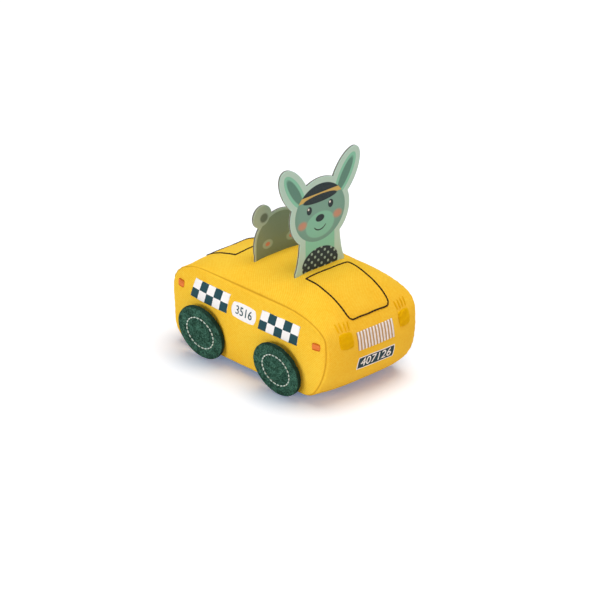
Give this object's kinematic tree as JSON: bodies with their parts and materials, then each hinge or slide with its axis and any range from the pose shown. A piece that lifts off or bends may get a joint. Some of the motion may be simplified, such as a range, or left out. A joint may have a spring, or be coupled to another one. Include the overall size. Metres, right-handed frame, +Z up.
{
  "type": "pullback toy car",
  "caption": "Stuffed fabric toy taxi with felt wheel discs, two cut-out animal cards in its roof and a hidden spring-motor chassis on rolling wheels.",
  "frame": {"origin": "on the floor under the middle of the car's bounding box", "axes": "+X forwards along the car, +Y to the car's left, +Z up"},
  "size_m": [0.1209, 0.0822, 0.115],
  "materials": {
    "yellow_twill": "woven",
    "stuffing": "fibre",
    "green_felt": "felt",
    "driver_print": "printed",
    "passenger_print": "printed",
    "black_plastic": "moulded",
    "motor_plastic": "moulded",
    "gear_plastic": "moulded",
    "tyre_rubber": "matt",
    "steel": "drawn"
  },
  "bodies": {
    "cab": {"wrap_panel": "yellow_twill", "side_panel_left": "yellow_twill", "side_panel_right": "yellow_twill", "bottom_panel": "yellow_twill", "stuffing": "stuffing", "felt_disc_rear_left": "green_felt", "felt_disc_rear_right": "green_felt", "felt_disc_front_left": "green_felt", "felt_disc_front_right": "green_felt", "driver_card": "driver_print", "passenger_card": "passenger_print", "chassis_tray": "black_plastic", "chassis_cover": "black_plastic", "chassis_screw_1": "steel", "chassis_screw_2": "steel", "chassis_screw_3": "steel", "chassis_screw_4": "steel", "motor_case_left": "motor_plastic", "motor_case_right": "motor_plastic", "motor_screw_1": "steel", "motor_screw_2": "steel", "compound_pin": "steel", "spring_arbor": "steel", "mainspring": "steel"},
    "rear_axle_set": {"rear_axle": "steel", "rear_wheel_left": "black_plastic", "rear_wheel_right": "black_plastic", "rear_tyre_left": "tyre_rubber", "rear_tyre_right": "tyre_rubber", "axle_gear": "gear_plastic"},
    "front_axle_set": {"front_axle": "steel", "front_wheel_left": "black_plastic", "front_wheel_right": "black_plastic", "front_tyre_left": "tyre_rubber", "front_tyre_right": "tyre_rubber"},
    "compound_gear_body": {"compound_gear": "gear_plastic"},
    "spring_gear_body": {"spring_gear": "gear_plastic"}
  },
  "joints": [
    {"name": "rear_axle_spin", "type": "hinge", "parent": "cab", "child": "rear_axle_set", "pos_m": [-0.0284, 0, 0.009], "axis": [0, 1, 0], "continuous": true},
    {"name": "front_axle_spin", "type": "hinge", "parent": "cab", "child": "front_axle_set", "pos_m": [0.023, 0, 0.009], "axis": [0, 1, 0], "continuous": true},
    {"name": "compound_gear_spin", "type": "hinge", "parent": "cab", "child": "compound_gear_body", "pos_m": [-0.01931, 0, 0.01425], "axis": [0, 1, 0], "continuous": true},
    {"name": "spring_gear_spin", "type": "hinge", "parent": "cab", "child": "spring_gear_body", "pos_m": [-0.00741, 0, 0.01425], "axis": [0, 1, 0], "continuous": true}
  ],
  "couplings": [
    {"joint": "compound_gear_spin", "follows": "rear_axle_spin", "ratio": -0.5},
    {"joint": "spring_gear_spin", "follows": "rear_axle_spin", "ratio": 0.20833}
  ]
}
